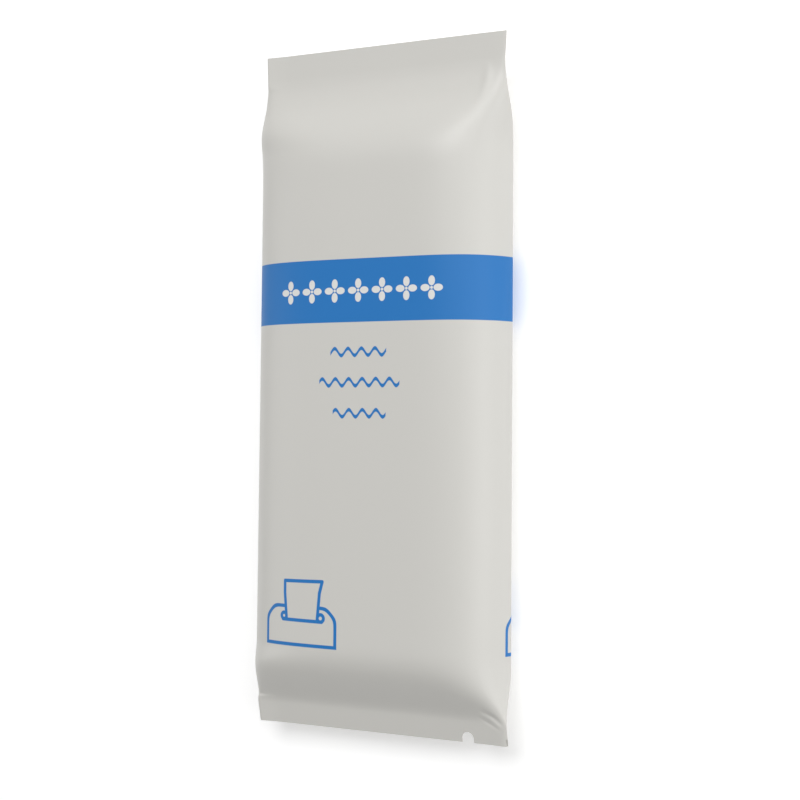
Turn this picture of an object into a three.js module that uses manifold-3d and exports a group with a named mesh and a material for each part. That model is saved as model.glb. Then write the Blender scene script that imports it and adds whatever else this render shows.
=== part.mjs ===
// Pocket tissue pack: a stack of folded tissues wrapped in printed film, lying on its back.
// The film is a sleeve pressed flat into a seal at each end, so the whole pack is one soft
// closed body: a block with rounded sides, a shoulder towards each end, and two thin seals.
//
// Millimetres. +X is the pack's right side seen from its front, +Y runs to its head end and
// +Z comes out of its front face. The origin is under its middle, on the surface it lies on.

import * as THREE from 'three';
import { mergeVertices } from 'three/addons/utils/BufferGeometryUtils.js';
import Module from 'manifold-3d';

// Overall form: the width is taken at the foot, and the pack narrows a little to its head
const packLength = 124;
const packWidth = 51.7;
const packDepth = 13.7;
const headTaper = 0.9;

// Seals: flat fins at both ends, whose sides stand in from the body's by a small step,
// and which are thicker at their sides where the film is tucked in
const headSealStep = 1;
const footSealStep = 0.5;
const headSealLength = 4.6;
const footSealLength = 3.75;
const sealThickness = 0.6;
const headSealEdgeThickness = 0.95;
const footSealEdgeThickness = 1.35;
const tuckReach = 4.5;
const headSealLift = 0.8;
const footSealLift = 0.25;

// Shoulders: where the film runs from a seal out to the full section
const headShoulderLength = 14.6;
const footShoulderLength = 11.75;
const headCrease = 0.11;
const footCrease = 0.47;

// Section: a higher squareness gives straighter sides, a lower crown a rounder face
const sideSquareness = 3.67;
const shoulderSquareness = 16.8;
const faceCrown = 1.78;
const backPress = 1.1;

// The lengthwise seam on the back: a fin folded over to one side and pressed flat
const seamWidth = 9;
const seamGrooveWidth = 0.9;
const seamFoldDepth = 0.22;
const seamEdgeDepth = 0.35;

// The round-topped tear notch in the foot seal
const notchRadius = 1.15;
const notchHeight = 1.9;
const notchInset = 7.2;

// The leaf-shaped dimple where the tucked corner meets the foot seal
const dimpleLength = 4.2;
const dimpleWidth = 1;
const dimpleDepth = 0.25;
const dimpleInset = 3;
const dimpleRise = 0.7;
const dimpleTurn = -30;

// How finely the body is drawn
const faceColumns = 20;
const sealRings = 2;
const headShoulderRings = 10;
const footShoulderRings = 9;
const bodyRings = 5;
const sideShare = 0.965;
const roundSteps = 24;

const halfLength = packLength / 2;
const halfDepth = packDepth / 2;
const footLine = -halfLength + footSealLength;
const headLine = halfLength - headSealLength;
const footShoulderEnd = footLine + footShoulderLength;
const headShoulderEnd = headLine - headShoulderLength;
const headWidth = packWidth - headTaper;

const clamp = (value) => THREE.MathUtils.clamp(value, 0, 1);
const mix = THREE.MathUtils.lerp;
const smooth = (value) => THREE.MathUtils.smoothstep(value, 0, 1);

// How far along a shoulder a station lies: 0 in the seal, 1 from the shoulder's end inwards
function shoulderShares(y) {
  return {
    head: clamp((headLine - y) / headShoulderLength),
    foot: clamp((y - footLine) / footShoulderLength),
  };
}

// An S-shaped rise, with a crease where it leaves the seal
function rise(share, crease) {
  return smooth(share) + crease * share * (1 - share) ** 2;
}

// The sizes of the cross-section at a station along the pack
function sectionAt(y) {
  const share = shoulderShares(y);
  const nearest = Math.min(share.head, share.foot);
  const atHead = y > 0;
  const fullness = rise(share.head, headCrease) * rise(share.foot, footCrease);
  const widening = smooth(share.head * 1.25) * smooth(share.foot * 1.25);
  const bodyWidth = mix(packWidth, headWidth, y / packLength + 0.5);
  const sealWidth = atHead ? headWidth - 2 * headSealStep : packWidth - 2 * footSealStep;
  const lift = atHead ? headSealLift : footSealLift;
  return {
    fullness,
    halfWidth: mix(sealWidth, bodyWidth, widening) / 2,
    middle: halfDepth + lift * (1 - smooth(nearest)),
    squareness: mix(shoulderSquareness, sideSquareness, smooth(nearest)),
    rounding: smooth(nearest * 4),
    edgeThickness: atHead ? headSealEdgeThickness : footSealEdgeThickness,
  };
}

// Height of the front above the section's middle, for a point at a share of the half width
function crown(section, share) {
  const curve = (1 - Math.abs(share) ** section.squareness) ** (1 / faceCrown);
  return mix(1, curve, section.rounding);
}

// Half the depth of the section at a distance in from its side
function halfDepthAt(section, fromSide) {
  const doubled = smooth((tuckReach - fromSide) / 1.5 + 0.5);
  const sealHalf = mix(sealThickness, section.edgeThickness, doubled) / 2;
  return mix(sealHalf, halfDepth, section.fullness);
}

// The shares of the half width at which the columns of the front and back faces stand:
// closer together towards the sides, and three at each line of the back seam
function columnShares() {
  const perMillimetre = 4 / (headWidth + packWidth) / sideShare;
  const seamLines = [0, seamWidth].flatMap((line) => [
    (line - seamGrooveWidth / 2) * perMillimetre,
    line * perMillimetre,
    (line + seamGrooveWidth / 2) * perMillimetre,
  ]);
  const spaced = Array.from({ length: faceColumns + 1 }, (_, i) =>
    Math.sin((i / faceColumns - 0.5) * Math.PI));
  const clear = spaced.filter((share) =>
    Math.abs(share) === 1 || seamLines.every((line) => Math.abs(line - share) > perMillimetre));
  return {
    shares: [...clear, ...seamLines].sort((a, b) => a - b),
    fold: seamLines[1],
    edge: seamLines[4],
  };
}

// The stations along the pack at which its rings stand
function ringStations() {
  const stretches = [
    [-halfLength, footLine, sealRings],
    [footLine, footShoulderEnd, footShoulderRings],
    [footShoulderEnd, headShoulderEnd, bodyRings],
    [headShoulderEnd, headLine, headShoulderRings],
    [headLine, halfLength, sealRings],
  ];
  const stations = stretches.flatMap(([from, to, count]) =>
    Array.from({ length: count }, (_, i) => mix(from, to, i / count)));
  return [...stations, halfLength];
}

// A box whose points are all moved onto the soft body
function softBody() {
  const columns = columnShares();
  const stations = ringStations();
  const across = columns.shares.length - 1;
  const along = stations.length - 1;
  const geometry = new THREE.BoxGeometry(2, 2, 2, across, along, 4);
  const point = new THREE.Vector3();
  const positions = geometry.attributes.position;
  for (let i = 0; i < positions.count; i += 1) {
    point.fromBufferAttribute(positions, i);
    const share = columns.shares[Math.round((point.x + 1) / 2 * across)];
    const y = stations[Math.round((point.y + 1) / 2 * along)];
    const section = sectionAt(y);
    const side = mix(1, sideShare, section.rounding);
    const height = point.z * crown(section, share * sideShare);
    const bulge = (1 - Math.abs(height) ** faceCrown) ** (1 / section.squareness);
    const onSide = Math.abs(share) === 1;
    const reach = onSide ? Math.sign(share) * mix(1, bulge, section.rounding) : share * side;
    const x = reach * section.halfWidth;
    const depth = halfDepthAt(section, section.halfWidth - Math.abs(x));
    let z = section.middle + height * depth;
    if (point.z === -1) {
      z = backHeight(section, height * depth, share, columns);
    }
    positions.setXYZ(i, x, y, z);
  }
  return geometry;
}

// The back lies pressed flat, with the seam's two lines sunk into it
function backHeight(section, below, share, columns) {
  const pressed = Math.max(0, section.middle + below * mix(1, backPress, section.fullness));
  if (share === columns.fold) {
    return pressed + seamFoldDepth * section.fullness;
  }
  if (share === columns.edge) {
    return pressed + seamEdgeDepth * section.fullness;
  }
  return pressed;
}

// A round-topped cutter that goes right through the foot seal at its cut edge
function tearNotch() {
  const arch = new THREE.Shape();
  arch.moveTo(-notchRadius, -notchHeight);
  arch.lineTo(notchRadius, -notchHeight);
  arch.absarc(0, notchHeight - notchRadius, notchRadius, 0, Math.PI);
  arch.closePath();
  const geometry = new THREE.ExtrudeGeometry(arch, {
    depth: packDepth,
    bevelEnabled: false,
    curveSegments: roundSteps / 2,
  });
  geometry.translate(packWidth / 2 - footSealStep - notchInset, -halfLength, 0);
  return geometry;
}

// A flattened ball that presses the leaf-shaped dimple into the corner
function cornerDimple() {
  const y = footLine + dimpleRise;
  const section = sectionAt(y);
  const x = section.halfWidth - dimpleInset;
  const surface = section.middle + crown(section, x / section.halfWidth)
    * halfDepthAt(section, dimpleInset);
  const ballHeight = dimpleDepth * 3;
  const geometry = new THREE.SphereGeometry(0.5, roundSteps, roundSteps / 2);
  geometry.scale(dimpleLength, dimpleWidth, ballHeight * 2);
  geometry.rotateZ(THREE.MathUtils.degToRad(dimpleTurn));
  geometry.translate(x, y, surface + ballHeight - dimpleDepth);
  return geometry;
}

const wasm = await Module();
wasm.setup();

function toSolid(geometry) {
  const bare = geometry.clone();
  bare.deleteAttribute('normal');
  bare.deleteAttribute('uv');
  const merged = mergeVertices(bare, 1e-5);
  return new wasm.Manifold(new wasm.Mesh({
    numProp: 3,
    vertProperties: new Float32Array(merged.attributes.position.array),
    triVerts: new Uint32Array(merged.index.array),
  }));
}

function toGeometry(solid) {
  const mesh = solid.getMesh();
  const geometry = new THREE.BufferGeometry();
  geometry.setAttribute('position', new THREE.BufferAttribute(mesh.vertProperties, mesh.numProp));
  geometry.setIndex(new THREE.BufferAttribute(mesh.triVerts, 1));
  geometry.computeVertexNormals();
  return geometry;
}

const packSolid = toSolid(softBody())
  .subtract(toSolid(tearNotch()))
  .subtract(toSolid(cornerDimple()));

const film = new THREE.MeshStandardMaterial({
  color: 0xd6d4cf,
  roughness: 0.42,
  metalness: 0,
});

const tissuePack = new THREE.Mesh(toGeometry(packSolid), film);
tissuePack.name = 'tissue_pack';

const pack = new THREE.Group();
pack.add(tissuePack);

export default pack;
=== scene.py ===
# %% [markdown]
# # A pocket tissue pack
#
# The object is a slim pack of folded paper tissues in a sleeve of thin satin film.
# The film is printed with a blue band and a small pictogram, closed by one lengthwise
# seam on the back, and pressed flat into a seal at each end. A pack like this can't
# stand on a film edge, so it lies on its back, and the camera looks down on it from
# the place that gives the same view of its front.
#
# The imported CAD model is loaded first. It fixes the size and place of everything:
# +X is the pack's right side, +Y its head end, and +Z comes out of its front.

import math
from collections import namedtuple
from functools import reduce

import bmesh
import bpy
import numpy as np
from mathutils import Matrix, Vector


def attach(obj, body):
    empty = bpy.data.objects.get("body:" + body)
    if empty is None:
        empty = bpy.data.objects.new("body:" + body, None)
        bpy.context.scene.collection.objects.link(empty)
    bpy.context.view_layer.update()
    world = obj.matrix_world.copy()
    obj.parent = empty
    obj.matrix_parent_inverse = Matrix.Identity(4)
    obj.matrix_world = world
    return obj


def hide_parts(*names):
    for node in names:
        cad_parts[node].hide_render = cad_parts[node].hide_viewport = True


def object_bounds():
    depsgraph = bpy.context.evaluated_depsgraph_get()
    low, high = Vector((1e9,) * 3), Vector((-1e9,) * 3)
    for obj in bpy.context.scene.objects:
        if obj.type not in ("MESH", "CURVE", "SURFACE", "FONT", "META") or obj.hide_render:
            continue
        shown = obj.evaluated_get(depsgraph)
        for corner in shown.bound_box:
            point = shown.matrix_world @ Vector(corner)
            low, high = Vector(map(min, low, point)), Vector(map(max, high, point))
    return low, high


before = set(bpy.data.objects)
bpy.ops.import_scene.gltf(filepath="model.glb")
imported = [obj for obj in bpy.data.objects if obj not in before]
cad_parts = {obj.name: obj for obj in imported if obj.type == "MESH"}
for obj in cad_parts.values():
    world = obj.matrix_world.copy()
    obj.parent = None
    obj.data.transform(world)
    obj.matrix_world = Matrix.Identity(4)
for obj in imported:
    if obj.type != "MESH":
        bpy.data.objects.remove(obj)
cad_low, cad_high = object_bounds()
MM = 0.001
print("CAD box in mm:", [round(side / MM, 1) for side in cad_high - cad_low])

# %% [markdown]
# ## The camera
#
# A camera is a place, a direction, a way up and a lens. The place and the lens were
# found by fitting the pack's outline and its printed band to the picture that it is
# made after. A long lens, a little over twice the normal one, keeps the two seals
# nearly parallel. The way up has a small tilt, as a camera held by hand would.

# %% Place the camera
CAMERA_PLACE = Vector((140.3, -8.0, 259.9)) * MM
CAMERA_LOOK = Vector((-0.4745, 0.0205, -0.8800))
CAMERA_UP = Vector((0.0015, 0.9997, 0.0225))
IMAGE_SIDE = 800
FOCAL_LENGTH_PIXELS = 1603
SENSOR_WIDTH = 36
NEAREST_SEEN = 0.01


def place_camera(name, place, look, up, lens):
    """A camera at a place, looking one way, with a chosen way up."""
    camera = bpy.data.objects.new(name, bpy.data.cameras.new(name))
    bpy.context.scene.collection.objects.link(camera)
    back = -look.normalized()
    right = up.cross(back).normalized()
    turn = Matrix((right, back.cross(right), back)).transposed()
    camera.matrix_world = Matrix.Translation(place) @ turn.to_4x4()
    camera.data.sensor_width = SENSOR_WIDTH
    camera.data.lens = lens
    camera.data.clip_start = NEAREST_SEEN
    return camera


lens = FOCAL_LENGTH_PIXELS / IMAGE_SIDE * SENSOR_WIDTH
camera = place_camera("camera", CAMERA_PLACE, CAMERA_LOOK, CAMERA_UP, lens)
bpy.context.scene.camera = camera
print("lens in mm:", round(lens, 1))

# %% [markdown]
# ## Sums written as nodes
#
# A procedural material is a long sum worked out at every point of a surface. Written
# as Python expressions it stays readable, so a small class wraps one socket and turns
# each operator into a Math node.

# %% A number that changes over the surface
class Field:
    """One output socket, usable in a Python sum."""

    def __init__(self, paint, socket):
        self.paint = paint
        self.socket = socket

    def __add__(self, other):
        return self.paint.math("ADD", self, other)

    def __sub__(self, other):
        return self.paint.math("SUBTRACT", self, other)

    def __rsub__(self, other):
        return self.paint.math("SUBTRACT", other, self)

    def __mul__(self, other):
        return self.paint.math("MULTIPLY", self, other)

    def __truediv__(self, other):
        return self.paint.math("DIVIDE", self, other)

    def __abs__(self):
        return self.paint.math("ABSOLUTE", self)

    __radd__ = __add__


print("operators ready")

# %% [markdown]
# `Paint` owns the node tree of one material. One method makes any node, and the others
# are short names for the sums that the print needs.

# %% The node tree of one material
class Paint:
    """Makes the nodes of one material."""

    def __init__(self, name):
        self.material = bpy.data.materials.new(name)
        self.material.use_nodes = True
        self.tree = self.material.node_tree
        self.tree.nodes.clear()

    def node(self, kind, settings=None, inputs=None):
        """One node: its settings are set first, then the values or links of its sockets."""
        made = self.tree.nodes.new(kind)
        for name, value in (settings or {}).items():
            setattr(made, name, value)
        for name, value in (inputs or {}).items():
            value = value.socket if isinstance(value, Field) else value
            if isinstance(value, bpy.types.NodeSocket):
                self.tree.links.new(value, made.inputs[name])
            else:
                made.inputs[name].default_value = value
        return made

    def math(self, operation, *values):
        made = self.node("ShaderNodeMath", {"operation": operation}, dict(enumerate(values)))
        return Field(self, made.outputs[0])

    def least(self, *values):
        return reduce(lambda first, second: self.math("MINIMUM", first, second), values)

    def most(self, *values):
        return reduce(lambda first, second: self.math("MAXIMUM", first, second), values)

    def between(self, value, low, high):
        return self.least(self.most(value, low), high)

    def length(self, x, y):
        return self.math("SQRT", x * x + y * y)

    def within(self, distance, edge):
        """1 where a signed distance is below 0, and 0 outside, over a soft edge."""
        settings = {"interpolation_type": "SMOOTHSTEP"}
        inputs = {0: distance, 1: -edge, 2: edge, 3: 1.0, 4: 0.0}
        return Field(self, self.node("ShaderNodeMapRange", settings, inputs).outputs[0])

    def mix_colour(self, share, first, second):
        settings = {"data_type": "RGBA"}
        return self.node("ShaderNodeMix", settings, {0: share, 6: first, 7: second}).outputs[2]

    def noise(self, place, scale, detail):
        inputs = {"Vector": place, "Scale": scale, "Detail": detail}
        return Field(self, self.node("ShaderNodeTexNoise", None, inputs).outputs[0])

    def finish(self, shader):
        self.node("ShaderNodeOutputMaterial", None, {"Surface": shader.outputs[0]})
        return self.material


print("node maker ready")

# %% [markdown]
# ## The print on the film
#
# Print is ink on the flat film, before it is wrapped, so its masks are drawn in the
# film's own flat coordinates: how far round the sleeve from the middle of the front,
# and how far along the pack, here in millimetres. Each figure is a signed distance,
# below 0 inside, which keeps its edge sharp at any size. Figures are joined by taking
# the least distance, and cut by taking the most.
#
# The band goes all the way round. On its front is a row of plain four-petal blossoms:
# one petal is folded over by absolute values into four, and one blossom is repeated by
# rounding the place to the nearest of seven.

# %% The band and its blossoms
BAND_BOTTOM = 11.6
BAND_TOP = 22.9
BLOSSOM_MIDDLE = -1.1
BLOSSOM_PITCH = 4.85
BLOSSOMS_EACH_SIDE = 3
PETAL_REACH = 1.22
PETAL_LENGTH = 0.86
PETAL_WIDTH = 0.62
HEART_RADIUS = 0.26


def band_distance(across):
    half_band = (BAND_TOP - BAND_BOTTOM) / 2
    return abs(across - (BAND_BOTTOM + half_band)) - half_band


def blossom_distance(paint, along, across):
    """A row of four-petal blossoms along the middle of the band."""
    nearest = paint.math("ROUND", (along - BLOSSOM_MIDDLE) / BLOSSOM_PITCH)
    nearest = paint.between(nearest, -BLOSSOMS_EACH_SIDE, BLOSSOMS_EACH_SIDE)
    x = abs(along - BLOSSOM_MIDDLE - nearest * BLOSSOM_PITCH)
    y = abs(across - (BAND_BOTTOM + BAND_TOP) / 2)
    outward = paint.most(x, y) - PETAL_REACH
    sideways = paint.least(x, y)
    petal = paint.length(outward / PETAL_LENGTH, sideways / PETAL_WIDTH) - 1
    heart = paint.length(x, y) - HEART_RADIUS
    return paint.least(petal * PETAL_WIDTH, heart)


print("band is", round(BAND_TOP - BAND_BOTTOM, 1), "mm high")

# %% [markdown]
# Below the band are three small waves. The distance to a wave is measured upright, and
# then made a little smaller, because a slope lies nearer than that.

# %% The waves
Wave = namedtuple("Wave", "middle height half_length")
WAVES = (Wave(-1.0, 6.3, 5.7), Wave(-0.8, 0.9, 8.2), Wave(-0.7, -4.6, 5.4))
WAVE_HEIGHT = 0.62
WAVE_LENGTH = 2.75
WAVE_LINE = 0.42
SLOPE_SHARE = 0.62


def wave_distance(paint, along, across, wave):
    """A short wavy line."""
    from_middle = along - wave.middle
    rise = paint.math("SINE", from_middle * (2 * math.pi / WAVE_LENGTH)) * WAVE_HEIGHT
    line = abs(across - wave.height - rise) * SLOPE_SHARE - WAVE_LINE / 2
    return paint.most(line, abs(from_middle) - wave.half_length)


print("waves:", len(WAVES))

# %% [markdown]
# The pictogram, a sheet coming out of a dispenser, is a common sign, drawn with one
# weight of line. Two kinds of line are enough for most of it: straight ones, which are
# strung together into a path, and small rings.

# %% The lines of the pictogram
SIGN_LINE = 0.64


def line_distance(paint, x, y, start, end):
    """A straight line between two points."""
    run, climb = end[0] - start[0], end[1] - start[1]
    from_x, from_y = x - start[0], y - start[1]
    share = (from_x * run + from_y * climb) / (run * run + climb * climb)
    share = paint.between(share, 0, 1)
    return paint.length(from_x - share * run, from_y - share * climb) - SIGN_LINE / 2


def path_distance(paint, x, y, path):
    """Straight lines from point to point."""
    lines = zip(path, path[1:])
    return paint.least(*(line_distance(paint, x, y, start, end) for start, end in lines))


def curl_distance(paint, x, y, curl):
    """A small ring, from its middle and its radius."""
    curl_x, curl_y, radius = curl
    return abs(paint.length(x - curl_x, y - curl_y) - radius) - SIGN_LINE / 2


print("lines are", SIGN_LINE, "mm wide")

# %% [markdown]
# The dispenser is a box with its shoulders slanted off, and a smooth maximum rounds the
# corners between them. The sheet and the slot are paths, and the slot has a curl at
# each end. The origin is the middle of the dispenser's foot line. The whole sign stands
# at the foot of the front and again where the film turns to the back.

# %% The pictogram
SIGN_LEFT = -20.55
SIGN_FOOT = -46.35
SIGN_REPEAT = 48.5
SIGN_MARGIN = 5
CASE_WIDTH = 15.4
CASE_HEIGHT = 6.85
CASE_SLANT = 12.6
CASE_ROUNDING = 1.1
CASE_OPENING = (-3.1, 4.1)
SLOT = ((-3.7, 4.42), (4.9, 4.4))
SHEET = ((-2.85, 4.6), (-3.3, 9.2), (-3.3, 11.4), (4.95, 11.6), (4.38, 9.5), (3.95, 4.6))
CURLS = ((-3.45, 5.05, 0.57), (4.63, 5.05, 0.65))


def case_distance(paint, x, y):
    """The dispenser: a box with slanting shoulders, open at the top where the sheet is."""
    middle = CASE_HEIGHT / 2
    box = paint.most(abs(x) - CASE_WIDTH / 2, abs(y - middle) - middle)
    slant = (abs(x) + y - CASE_SLANT) * math.sqrt(0.5)
    case = abs(paint.math("SMOOTH_MAX", box, slant, CASE_ROUNDING)) - SIGN_LINE / 2
    left, right = CASE_OPENING
    opening = abs(x - (left + right) / 2) - (right - left) / 2
    opening = paint.most(opening, CASE_HEIGHT - 1 - y)
    return paint.most(case, 0 - opening)


def sign_distance(paint, along, across):
    """The dispenser, its slot and curls, and the sheet, at both places."""
    on_back = paint.math("GREATER_THAN", along, SIGN_LEFT + SIGN_REPEAT - SIGN_MARGIN)
    x = along - (SIGN_LEFT + CASE_WIDTH / 2) - on_back * SIGN_REPEAT
    y = across - SIGN_FOOT
    curls = [curl_distance(paint, x, y, curl) for curl in CURLS]
    paths = [path_distance(paint, x, y, path) for path in (SLOT, SHEET)]
    return paint.least(case_distance(paint, x, y), *paths, *curls)


print("pictogram is", round(SHEET[3][1], 1), "mm high")

# %% [markdown]
# ## The film
#
# The film is off-white and satin, and its gloss is one soft sheen: roughness stays near
# the middle, a little higher on ink than on bare film. Very low bump keeps the sheen
# from looking like moulded plastic: a slow unevenness, as the paper under the film
# shows through, and a fine grain. The sleeve's UV map holds the flat coordinates, in
# metres. It could be unwrapped by the editor, but then the print would stretch.

# %% The film material
FILM_COLOUR = (0.66, 0.65, 0.615, 1)
INK_BLUE = (0.008, 0.18, 0.53, 1)
INK_WHITE = (0.78, 0.78, 0.76, 1)
INK_EDGE = 0.05
FILM_ROUGHNESS = 0.38
INK_DULLNESS = 0.1
UNEVEN_SCALE = 120
UNEVEN_HEIGHT = 0.8
GRAIN_SCALE = 2600
GRAIN_HEIGHT = 0.03
BUMP_STRENGTH = 0.5
BUMP_DISTANCE = 0.12 * MM


def ink_masks(paint):
    """Where the blue ink is, and where the white."""
    flat = paint.node("ShaderNodeUVMap", {"uv_map": "film"}).outputs[0]
    parts = paint.node("ShaderNodeSeparateXYZ", None, {0: flat}).outputs
    along = Field(paint, parts[0]) * (1 / MM)
    across = Field(paint, parts[1]) * (1 / MM)
    waves = [wave_distance(paint, along, across, wave) for wave in WAVES]
    sign = sign_distance(paint, along, across)
    blue = paint.within(paint.least(band_distance(across), sign, *waves), INK_EDGE)
    white = paint.within(blossom_distance(paint, along, across), INK_EDGE)
    return blue, white


def film_material():
    paint = Paint("printed_film")
    blue, white = ink_masks(paint)
    colour = paint.mix_colour(blue, FILM_COLOUR, INK_BLUE)
    colour = paint.mix_colour(white, colour, INK_WHITE)
    place = paint.node("ShaderNodeTexCoord").outputs["Object"]
    height = paint.noise(place, UNEVEN_SCALE, 2) * UNEVEN_HEIGHT
    height += paint.noise(place, GRAIN_SCALE, 1) * GRAIN_HEIGHT
    inputs = {"Strength": BUMP_STRENGTH, "Distance": BUMP_DISTANCE, "Height": height}
    bump = paint.node("ShaderNodeBump", None, inputs)
    return paint.finish(paint.node("ShaderNodeBsdfPrincipled", None, {
        "Base Color": colour,
        "Roughness": FILM_ROUGHNESS + blue * INK_DULLNESS,
        "Normal": bump.outputs[0],
    }))


film = film_material()
print("film material has", len(film.node_tree.nodes), "nodes")

# %% [markdown]
# ## The form of the sleeve
#
# Along the pack there are five stretches: a flat seal, a shoulder, the body, another
# shoulder and the other seal. The overall length and depth are read from the frame,
# the widths are given, and the stretches have the same lengths as in the CAD model,
# so the film fits it. A seal's two films part into a wider edge where the film is
# tucked in. The seals aren't quite level: the foot one bends down towards its cut
# edge, the head one up.

# %% Sizes along the pack
LENGTH = cad_high.y - cad_low.y
DEPTH = cad_high.z - cad_low.z
FOOT_WIDTH = 51.7 * MM
HEAD_WIDTH = 50.8 * MM
FOOT_SEAL_WIDTH = 50.7 * MM
HEAD_SEAL_WIDTH = 48.8 * MM
FOOT_SEAL = 3.75 * MM
HEAD_SEAL = 4.6 * MM
FOOT_SHOULDER = 11.75 * MM
HEAD_SHOULDER = 14.6 * MM
FOOT_LIFT = 0.25 * MM
HEAD_LIFT = 0.8 * MM
FOOT_DROOP = 0.85 * MM
HEAD_DROOP = -0.25 * MM
FOOT_LINE = cad_low.y + FOOT_SEAL
HEAD_LINE = cad_high.y - HEAD_SEAL
print("shoulders run from", round(FOOT_LINE / MM, 2), "to", round(HEAD_LINE / MM, 2), "mm")

# %% [markdown]
# A shoulder isn't a plain S. The film leaves the foot seal at a sharp crease and the
# head seal softly, and both run out long and flat into the body. So the slope is what
# is chosen, as a product of two powers, and the height is its running sum.

# %% The rise of the shoulders
FOOT_BEND = 13 * MM
HEAD_BEND = 20 * MM
SLOPE_STEPS = 400


def shoulder_rise(crease, near_seal, near_body):
    """Shares of a bend and the heights there, for a slope that begins with a crease."""
    share = np.linspace(0, 1, SLOPE_STEPS)
    slope = (share + crease) ** near_seal * (1 - share) ** near_body
    height = np.append(0, np.cumsum(slope[1:] + slope[:-1]))
    return share, height / height[-1]


FOOT_RISE = shoulder_rise(0.04, 1, 2)
HEAD_RISE = shoulder_rise(0, 2, 3)
print("rise at half the foot bend:", round(float(np.interp(0.5, *FOOT_RISE)), 2))

# %% [markdown]
# Every cross-section of the pack is a superellipse: squarer along its sides, rounder on
# its face. Towards a seal it gets thinner and squarer until the film lies flat on
# itself. A `Section` works out the sizes of one of them from its place along the pack.

# %% Soft steps
def clamp(value):
    return min(max(value, 0.0), 1.0)


def ease(value):
    """0 to 1 with a soft start and a soft end."""
    value = clamp(value)
    return value * value * (3 - 2 * value)


def mix(first, second, share):
    return first + (second - first) * share


print("a quarter, eased:", round(ease(0.25), 3))

# %% The cross-section
SEAL_SQUARENESS = 160
SHOULDER_SQUARENESS = 16.8
SEAL_FADE = 8
WIDENING_PACE = 1.25
FILM_PAIR = 0.3 * MM
FOOT_EDGE = 1.35 * MM
HEAD_EDGE = 0.95 * MM
TUCK_REACH = 4.5 * MM
TUCK_FALL = 1.5
HEAD_CORNER = HEAD_LINE - 10.5 * MM
CORNER_REACH = 4.5 * MM


class Section:
    """The cross-section at one station along the pack."""

    def __init__(self, y):
        at_head = y > 0
        head = clamp((HEAD_LINE - y) / HEAD_SHOULDER)
        foot = clamp((y - FOOT_LINE) / FOOT_SHOULDER)
        self.near = min(head, foot)
        self.edge = HEAD_EDGE if at_head else FOOT_EDGE
        self.in_head_seal = max((y - HEAD_LINE) / HEAD_SEAL, 0)
        self.at_head_corner = math.exp(-(((y - HEAD_CORNER) / CORNER_REACH) ** 2))

        head_rise = np.interp((HEAD_LINE - y) / HEAD_BEND, *HEAD_RISE)
        foot_rise = np.interp((y - FOOT_LINE) / FOOT_BEND, *FOOT_RISE)
        self.full = float(head_rise * foot_rise)

        body = mix(FOOT_WIDTH, HEAD_WIDTH, (y - cad_low.y) / LENGTH)
        seal = HEAD_SEAL_WIDTH if at_head else FOOT_SEAL_WIDTH
        widening = ease(head * WIDENING_PACE) * ease(foot * WIDENING_PACE)
        self.half_width = mix(seal, body, widening) / 2

        in_foot_seal = max((FOOT_LINE - y) / FOOT_SEAL, 0)
        lift = HEAD_LIFT if at_head else FOOT_LIFT
        droop = HEAD_DROOP * self.in_head_seal + FOOT_DROOP * in_foot_seal
        self.middle = DEPTH / 2 + lift * (1 - ease(self.near)) - droop

    def squareness(self, at_body):
        squareness = mix(SHOULDER_SQUARENESS, at_body, ease(self.near))
        return mix(SEAL_SQUARENESS, squareness, ease(self.near * SEAL_FADE))

    def half_depth(self, x):
        """Half the depth at distances from the middle: the tucked sides of a seal are thicker."""
        doubled = (self.half_width - x) / TUCK_REACH
        doubled = np.clip(1 - doubled, 0, 1) ** TUCK_FALL
        seal = mix(FILM_PAIR, self.edge, doubled) / 2
        return mix(seal, DEPTH / 2, self.full)


print("half width of the body in mm:", round(Section(0).half_width / MM, 2))

# %% [markdown]
# ## Two sides that aren't alike
#
# The left side is a plain round one, with a slight bulge at its head corner. On the
# right the film slopes from the front, nearly flat, down to a widest line that lies
# low. So each side has its own squareness and crown for the front and for the back,
# and its own small departures from the sizes of the section.

# %% Shapes of the two sides
Shape = namedtuple("Shape", "squareness crown")
Side = namedtuple("Side", "sign faceted front back sag narrowing head_flare head_bulge")
LEFT = Side(
    sign=-1,
    faceted=False,
    front=Shape(3.67, 1.78),
    back=Shape(3.67, 1.78),
    sag=0,
    narrowing=0.1 * MM,
    head_flare=0.05 * MM,
    head_bulge=0.45 * MM,
)
RIGHT = Side(
    sign=1,
    faceted=True,
    front=Shape(5.55, 1.33),
    back=Shape(3.4, 1.78),
    sag=2.5 * MM,
    narrowing=0.95 * MM,
    head_flare=0.35 * MM,
    head_bulge=0,
)
print("right side's widest line is", round((DEPTH / 2 - RIGHT.sag) / MM, 2), "mm up")

# %% [markdown]
# The right side's slope is a facet: it goes on straight into the shoulders, and the
# sinking front cuts it. A bevel would give the edge between them one even width. Here
# the two heights are joined by a smooth minimum of powers, so the edge is crisp where
# they meet at a steep angle and fades where they don't, as film does.

# %% The facet
HAIR = 0.001 * MM
FACET_SHARPNESS = 4
LEAST_SLOPE = 0.0001


def cut_facet(side, x, z, face, level):
    """Keeps the side's slope as it is in the body, and cuts it by the sinking front."""
    low, high = DEPTH / 2 - side.sag, DEPTH
    slope = np.maximum(z, LEAST_SLOPE) ** -FACET_SHARPNESS
    front = ((face - low) / (high - low)) ** -FACET_SHARPNESS
    z = low + (high - low) * (slope + front - 1) ** (-1 / FACET_SHARPNESS)
    end = np.interp(-level, -z, x)
    kept = z > level + HAIR
    return np.append(x[kept] / end, 1), np.append(z[kept], level)


print("facet sharpness:", FACET_SHARPNESS)

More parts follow.
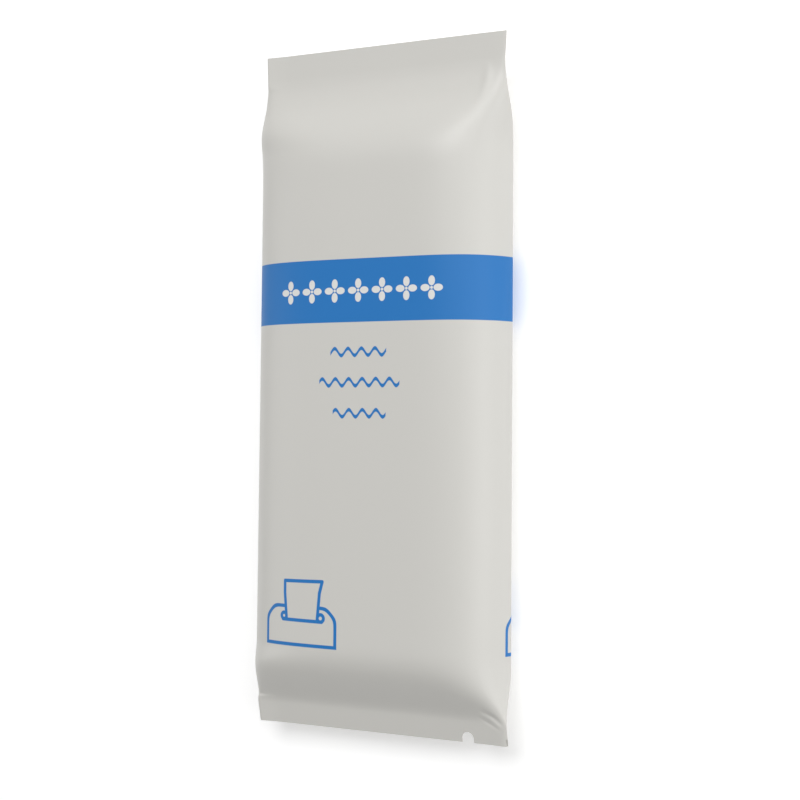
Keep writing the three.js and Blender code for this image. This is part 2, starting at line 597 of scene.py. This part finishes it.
# %% [markdown]
# A quarter of a superellipse is sampled by its width as far as it is flat, and by its
# height down its side, so that both are smooth. The front quarter and the back quarter
# of a side meet at its widest line, whose height is called `level`.

# %% The quarters of an outline
QUARTER_STEPS = 90
TURN_HEIGHT = 0.7
BACK_PRESS = 1.1


def unit_quarter(squareness, crown):
    """A quarter of a superellipse from its top (0, 1) to its side (1, 0)."""
    turn = (1 - TURN_HEIGHT ** crown) ** (1 / squareness)
    flat_x = turn * np.sin(np.linspace(0, math.pi / 2, QUARTER_STEPS))
    flat_z = (1 - flat_x ** squareness) ** (1 / crown)
    side_z = np.linspace(TURN_HEIGHT, 0, QUARTER_STEPS)[1:]
    side_x = (1 - side_z ** crown) ** (1 / squareness)
    return np.append(flat_x, side_x), np.append(flat_z, side_z)


def front_quarter(section, side, level):
    """Shares of the half width and the heights there, from the middle outwards."""
    squareness, crown = side.front
    if not side.faceted:
        squareness = section.squareness(squareness)
    x, z = unit_quarter(squareness, crown)
    face = section.middle + section.half_depth(x * section.half_width)
    if side.faceted:
        return cut_facet(side, x, z, face, level)
    return x, mix(level, face, z)


def back_quarter(section, side, level):
    """The same for the back."""
    x, z = unit_quarter(section.squareness(side.back.squareness), side.back.crown)
    press = mix(1, BACK_PRESS, section.full)
    face = section.middle - section.half_depth(x * section.half_width) * press
    return x, mix(level, face, z)


def quarters(section, side):
    """The front and the back quarter of one side, in metres."""
    half_width = section.half_width - side.narrowing * section.full
    half_width += side.head_flare * section.in_head_seal
    half_width += side.head_bulge * section.at_head_corner
    level = section.middle - side.sag * section.full
    front_x, front_z = front_quarter(section, side, level)
    back_x, back_z = back_quarter(section, side, level)
    return (front_x * half_width, front_z), (back_x * half_width, back_z)


front, back = quarters(Section(0), RIGHT)
print("right side reaches", round(front[0][-1] / MM, 2), "mm from the middle")

# %% [markdown]
# ## Folds in the right corners
#
# Where the foot seal meets the pack's right side the spare film lies in a small
# leaf-shaped fold: a low ridge with a valley on each side. The corner at the head has
# one soft ridge. Each is a path on the front, and the film rises or sinks beside it,
# most in the middle of its length. They could be sculpted, but a path with a width and
# a height can be moved and measured.

# %% The folds
Fold = namedtuple("Fold", "path width height")
FOLDS = (
    Fold(((20.6, -56.4), (22.9, -57.6), (24.8, -58.9)), 0.32, 0.09),
    Fold(((19.8, -56.8), (22.2, -58.2), (24.7, -59.4)), 0.22, -0.09),
    Fold(((20.4, -55.6), (23.0, -56.8), (25.0, -58.6)), 0.4, -0.2),
    Fold(((21.4, 57.0), (21.1, 53.5), (20.5, 48.5)), 0.9, 0.14),
)
FAR_AWAY = 1e9


def fold_height(x, y, fold):
    """Height of a fold at places along one station, all in millimetres."""
    nearest = np.full(len(x), FAR_AWAY)
    along = np.zeros(len(x))
    for step, (start, end) in enumerate(zip(fold.path, fold.path[1:])):
        run, climb = end[0] - start[0], end[1] - start[1]
        share = ((x - start[0]) * run + (y - start[1]) * climb) / (run * run + climb * climb)
        share = np.clip(share, 0, 1)
        away = np.hypot(x - start[0] - share * run, y - start[1] - share * climb)
        along = np.where(away < nearest, (step + share) / (len(fold.path) - 1), along)
        nearest = np.minimum(nearest, away)
    return fold.height * np.sin(math.pi * along) * np.exp(-((nearest / fold.width) ** 2))


print("folds:", len(FOLDS))

# %% [markdown]
# ## The back
#
# The pack lies on its back, so nothing of it may go below the table. The film stays
# above it by the thickness of the folded seam where that lies under it. A sharp cut-off
# would crease the back all round, so a softened maximum is taken.

# %% Press the back flat
SEAM_WIDTH = 9 * MM
SEAM_THICKNESS = 0.12 * MM
SEAM_STEP = 0.08 * MM
PRESS_SOFTNESS = 0.12 * MM


def press_flat(z, x):
    """The back can't go below the table, nor through the folded seam that lies on it."""
    seam = 1 / (1 + np.exp((np.abs(x - SEAM_WIDTH / 2) - SEAM_WIDTH / 2) / SEAM_STEP))
    table = SEAM_THICKNESS * seam
    above = z - table
    return table + (above + np.sqrt(above ** 2 + PRESS_SOFTNESS ** 2)) / 2


print("seam is", round(SEAM_WIDTH / MM, 1), "mm wide")

# %% [markdown]
# ## Walk round a section
#
# A station's outline has to be walked at even steps, or the columns of the mesh would
# bunch up at its corners. Its running length says where each share of the way round
# lies. The way is counted in turns, from 0 in the middle of the front to 0.5 in the
# middle of the back on the right, and to -0.5 there on the left.

# %% A whole outline
def walk(x, z, shares):
    """Points at shares of the length of a run of points, and that length."""
    length = np.append(0, np.cumsum(np.hypot(np.diff(x), np.diff(z))))
    wanted = shares * length[-1]
    return np.interp(wanted, length, x), np.interp(wanted, length, z), length[-1]


def side_loop(section, turns, side):
    """One half of an outline, at turns from the middle of the front."""
    (front_x, front_z), (back_x, back_z) = quarters(section, side)
    front_x, front_z, _ = walk(front_x, front_z, np.clip(turns * 4, 0, 1))
    back_x, back_z, _ = walk(back_x[::-1], back_z[::-1], np.clip(turns * 4 - 1, 0, 1))
    x = side.sign * np.where(turns <= 0.25, front_x, back_x)
    return x, np.where(turns <= 0.25, front_z, press_flat(back_z, x))


def section_loop(y, turns):
    """The whole outline, with the folds on its front."""
    section = Section(y)
    right_x, right_z = side_loop(section, np.abs(turns), RIGHT)
    left_x, left_z = side_loop(section, np.abs(turns), LEFT)
    x = np.where(turns > 0, right_x, left_x)
    z = np.where(turns > 0, right_z, left_z)
    folds = sum(fold_height(x / MM, y / MM, fold) for fold in FOLDS) * MM
    return x, z + np.where(np.abs(turns) < 0.25, folds, 0)


top = section_loop(0, np.zeros(1))[1][0]
print("front is", round(top / MM, 1), "mm above the table")

# %% How long the film is
def film_lengths(side):
    """How long the film is from the middle of the front to the side, and to the back."""
    front, back = quarters(Section(0), side)
    no_share = np.zeros(1)
    return walk(*front, no_share)[2], walk(*back, no_share)[2]


FILM_LENGTHS = {side.sign: film_lengths(side) for side in (LEFT, RIGHT)}
print("film is", round(sum(map(sum, FILM_LENGTHS.values())) / MM, 1), "mm round")

# %% [markdown]
# ## The sleeve's mesh
#
# The film starts as a flat grid, as the real one starts on a roll. Each column is a
# line along the pack and each row a section across it. The columns stand closer at the
# sides and the rows closer at the shoulders, because that is where the film bends.

# %% Rows and columns
COLUMNS = 240
SIDE_CROWDING = 0.62
CREASE_REACH = 3 * MM
ROW_STRETCHES = (
    (cad_low.y, FOOT_LINE, 18),
    (FOOT_LINE, FOOT_LINE + CREASE_REACH, 16),
    (FOOT_LINE + CREASE_REACH, FOOT_LINE + FOOT_BEND, 34),
    (FOOT_LINE + FOOT_BEND, HEAD_LINE - HEAD_BEND, 64),
    (HEAD_LINE - HEAD_BEND, HEAD_LINE, 54),
    (HEAD_LINE, cad_high.y, 12),
)


def row_stations():
    stretches = [np.linspace(low, high, rows, endpoint=False) for low, high, rows in ROW_STRETCHES]
    return np.append(np.concatenate(stretches), cad_high.y)


STATIONS = row_stations()
ROWS = len(STATIONS) - 1


def row_of(vert):
    """The row of a grid point, while the grid is still flat and a unit long."""
    return round((vert.co.y + 0.5) * ROWS)


def crowd_sides(turn):
    """Moves a share of the way round towards the nearer side of the pack."""
    return turn + SIDE_CROWDING * math.sin(4 * math.pi * turn) / (4 * math.pi)


def flat_place(turn):
    """How far round the flat film a turn lies."""
    front, back = FILM_LENGTHS[1 if turn > 0 else -1]
    quarter = abs(turn) * 4
    return math.copysign(min(quarter, 1) * front + max(quarter - 1, 0) * back, turn)


print("grid:", COLUMNS, "columns and", ROWS, "rows")

# %% [markdown]
# The flat grid gets its UV map first, then each point moves to its place on the pack,
# and the two long edges are merged where the back seam closes them. The cut edges of
# both seals are closed too, with a crisp rim.

# %% Wrap the film
def flat_grid(columns, turn_of):
    """A flat grid whose UV map says where on the film each point lies, in metres."""
    grid = bmesh.new()
    bmesh.ops.create_grid(grid, x_segments=columns, y_segments=ROWS, size=0.5)
    flat = grid.loops.layers.uv.new("film")
    for face in grid.faces:
        for loop in face.loops:
            loop[flat].uv = (flat_place(turn_of(loop.vert)), STATIONS[row_of(loop.vert)])
    return grid


def wrapped_film():
    sheet = flat_grid(COLUMNS, lambda vert: crowd_sides(vert.co.x))
    turns = np.array([crowd_sides(vert.co.x) for vert in sheet.verts])
    rows = np.array([row_of(vert) for vert in sheet.verts])
    sheet.verts.ensure_lookup_table()
    for row, station in enumerate(STATIONS):
        chosen = np.flatnonzero(rows == row)
        loop_x, loop_z = section_loop(station, turns[chosen])
        for index, x, z in zip(chosen, loop_x, loop_z):
            sheet.verts[index].co = (x, station, z)
    return sheet


def close_film(sheet):
    """Merges the long edges at the back seam and closes the cut edges of both seals."""
    bmesh.ops.remove_doubles(sheet, verts=sheet.verts, dist=HAIR / 2)
    cut = [edge for edge in sheet.edges if edge.is_boundary]
    for edge in cut:
        edge.smooth = False
    bmesh.ops.holes_fill(sheet, edges=cut, sides=0)
    bmesh.ops.recalc_face_normals(sheet, faces=sheet.faces)


def finished(shape, name, material, smooth=False):
    """A mesh object at the origin, made from a bmesh."""
    for face in shape.faces:
        face.smooth = smooth
    mesh = bpy.data.meshes.new(name)
    shape.to_mesh(mesh)
    shape.free()
    piece = bpy.data.objects.new(name, mesh)
    bpy.context.scene.collection.objects.link(piece)
    mesh.materials.append(material)
    return piece


sheet = wrapped_film()
close_film(sheet)
sleeve = finished(sheet, "film_sleeve", film, smooth=True)
print("sleeve has", len(sleeve.data.polygons), "faces")

# %% [markdown]
# ## The tear notch and the parted films
#
# A small round-topped notch is punched through the foot seal, and at the seal's right
# end its two films stand a little apart. A boolean modifier makes both cuts cleanly,
# and the result is then made the sleeve's own mesh, so that nothing is left live on the
# piece. A cut leaves faces with many corners, which are split into even triangles.

# %% Cut one piece with another
def cut_from(piece, cutter):
    modifier = piece.modifiers.new("cut", "BOOLEAN")
    modifier.operation = "DIFFERENCE"
    modifier.object = cutter
    graph = bpy.context.evaluated_depsgraph_get()
    cut = bpy.data.meshes.new_from_object(piece.evaluated_get(graph))
    shape = bmesh.new()
    shape.from_mesh(cut)
    many_sided = [face for face in shape.faces if len(face.verts) > 4]
    bmesh.ops.triangulate(shape, faces=many_sided, ngon_method="BEAUTY")
    shape.to_mesh(cut)
    shape.free()
    piece.modifiers.clear()
    piece.data = cut
    bpy.data.objects.remove(cutter)


print("cutting ready")

# %% Punch the notch
NOTCH_RADIUS = 1.15 * MM
NOTCH_HEIGHT = 1.9 * MM
NOTCH_INSET = 7.55 * MM
ROUND_STEPS = 32


def notch_cutter():
    """A disc whose lower half is drawn out past the cut edge, raised to a solid."""
    cutter = bmesh.new()
    bmesh.ops.create_circle(cutter, cap_ends=True, radius=NOTCH_RADIUS, segments=ROUND_STEPS)
    for vert in cutter.verts:
        if vert.co.y < -10 * HAIR:
            vert.co.y = -NOTCH_HEIGHT * 2
    raised = bmesh.ops.extrude_face_region(cutter, geom=cutter.faces[:])["geom"]
    lifted = [part for part in raised if isinstance(part, bmesh.types.BMVert)]
    bmesh.ops.translate(cutter, verts=lifted, vec=(0, 0, DEPTH))
    bmesh.ops.remove_doubles(cutter, verts=cutter.verts, dist=HAIR)
    bmesh.ops.recalc_face_normals(cutter, faces=cutter.faces)
    place = (FOOT_SEAL_WIDTH / 2 - NOTCH_INSET, cad_low.y + NOTCH_HEIGHT - NOTCH_RADIUS, 0)
    bmesh.ops.translate(cutter, verts=cutter.verts, vec=place)
    return finished(cutter, "notch_cutter", film)


cut_from(sleeve, notch_cutter())
print("after the notch:", len(sleeve.data.polygons), "faces")

# %% Part the two films
GAP_SIZE = (1.6 * MM, 2.6 * MM, 0.28 * MM)


def gap_cutter():
    """A thin blade at the right end of the foot seal, sloping as the seal does."""
    slope = math.atan(FOOT_DROOP / FOOT_SEAL)
    place = Matrix.Translation((FOOT_SEAL_WIDTH / 2, cad_low.y, Section(cad_low.y).middle))
    size = Matrix.Diagonal((*GAP_SIZE, 1))
    cutter = bmesh.new()
    bmesh.ops.create_cube(cutter, size=1, matrix=place @ Matrix.Rotation(slope, 4, "X") @ size)
    return finished(cutter, "gap_cutter", film)


cut_from(sleeve, gap_cutter())
print("after the gap:", len(sleeve.data.polygons), "faces")

# %% [markdown]
# ## The back seam
#
# The sleeve is closed along the back: the film's two long edges are sealed inside to
# inside, and the fin that they make is folded to one side and lies flat. It is a second
# grid, laid just clear of the back and given a wall. With its wall it is a closed solid,
# so its normals are recalculated once more.

# %% Lay the seam
SEAM_COLUMNS = 14
SEAM_CLEARANCE = 0.01 * MM


def back_height(x, y):
    """Height of the film's back at a distance from the middle."""
    back_x, back_z = quarters(Section(y), RIGHT)[1]
    return float(press_flat(np.interp(x, back_x, back_z), x))


def back_seam():
    strip = flat_grid(SEAM_COLUMNS, lambda vert: 0.5)
    for vert in strip.verts:
        station = STATIONS[row_of(vert)]
        x = (vert.co.x + 0.5) * SEAM_WIDTH
        vert.co = (x, station, back_height(x, station) - SEAM_CLEARANCE)
    bmesh.ops.recalc_face_normals(strip, faces=strip.faces)
    if strip.faces[0].normal.z > 0:
        bmesh.ops.reverse_faces(strip, faces=strip.faces)
    thickness = SEAM_THICKNESS - 2 * SEAM_CLEARANCE
    bmesh.ops.solidify(strip, geom=strip.faces[:], thickness=-thickness)
    bmesh.ops.recalc_face_normals(strip, faces=strip.faces)
    return finished(strip, "back_seam", film, smooth=True)


seam = back_seam()
print("seam has", len(seam.data.polygons), "faces")

# %% [markdown]
# ## Ties to the frame
#
# Both pieces move with the pack's one body, and both stand for the record's one
# material, the film. The sleeve takes the place of the CAD model's solid.

# %% Tie the pieces to the frame
for piece in (sleeve, seam):
    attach(piece, "root")
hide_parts("tissue_pack")
print("tied:", sleeve.name, "and", seam.name)

# %% [markdown]
# ## The floor and the light
#
# The floor is plain and pale. It also glows a little, to stay white where the lamps are
# weak.

# %% Floor
FLOOR_SIDE = 6.0
FLOOR_WHITE = (0.92, 0.92, 0.92, 1)
FLOOR_ROUGHNESS = 0.9
FLOOR_GLOW = 0.31


def floor_material():
    paint = Paint("pale_floor")
    return paint.finish(paint.node("ShaderNodeBsdfPrincipled", None, {
        "Base Color": FLOOR_WHITE,
        "Roughness": FLOOR_ROUGHNESS,
        "Emission Color": FLOOR_WHITE,
        "Emission Strength": FLOOR_GLOW,
    }))


ground = bmesh.new()
bmesh.ops.create_grid(ground, x_segments=1, y_segments=1, size=FLOOR_SIDE / 2)
floor = finished(ground, "floor", floor_material())
print("floor is", FLOOR_SIDE, "m wide")

# %% [markdown]
# The world gives an even light from all round. Lamps on the pack's right make that side
# the brightest, and lamps beyond its head light the head shoulder and leave the foot
# one in shade. Each is about a metre away and wide, so that no shadow has a hard edge.
# Their strengths were worked out together: one picture was made with each lamp alone,
# and the mix that came nearest to the film's tones was solved for.

# %% Lights
WORLD_STRENGTH = 0.26
LAMP_SIDE = 0.6
LAMP_TARGET = Vector((0, 0, DEPTH / 2))
LAMPS = (
    ("right_low_lamp", (1.13, 0.0, 0.41), 2.8),
    ("right_high_lamp", (0.85, 0.0, 0.85), 1.25),
    ("corner_lamp", (0.55, 0.55, 0.92), 2.9),
    ("head_low_lamp", (0.0, 1.13, 0.41), 1.4),
    ("head_high_lamp", (0.0, 0.6, 1.04), 4.9),
    ("left_lamp", (-1.04, 0.0, 0.6), 1.6),
)


def even_world():
    """White light from all round."""
    world = bpy.data.worlds.new("soft_white")
    world.use_nodes = True
    background = world.node_tree.nodes["Background"]
    background.inputs["Color"].default_value = (1, 1, 1, 1)
    background.inputs["Strength"].default_value = WORLD_STRENGTH
    return world


def soft_lamp(name, place, power):
    """A square area lamp that faces the pack."""
    lamp = bpy.data.objects.new(name, bpy.data.lights.new(name, "AREA"))
    lamp.data.size = LAMP_SIDE
    lamp.data.energy = power
    lamp.location = place
    lamp.rotation_euler = (LAMP_TARGET - Vector(place)).to_track_quat("-Z", "Y").to_euler()
    bpy.context.scene.collection.objects.link(lamp)


bpy.context.scene.world = even_world()
bpy.context.scene.view_settings.view_transform = "Standard"
for name, place, power in LAMPS:
    soft_lamp(name, place, power)
print("lamps:", len(LAMPS))
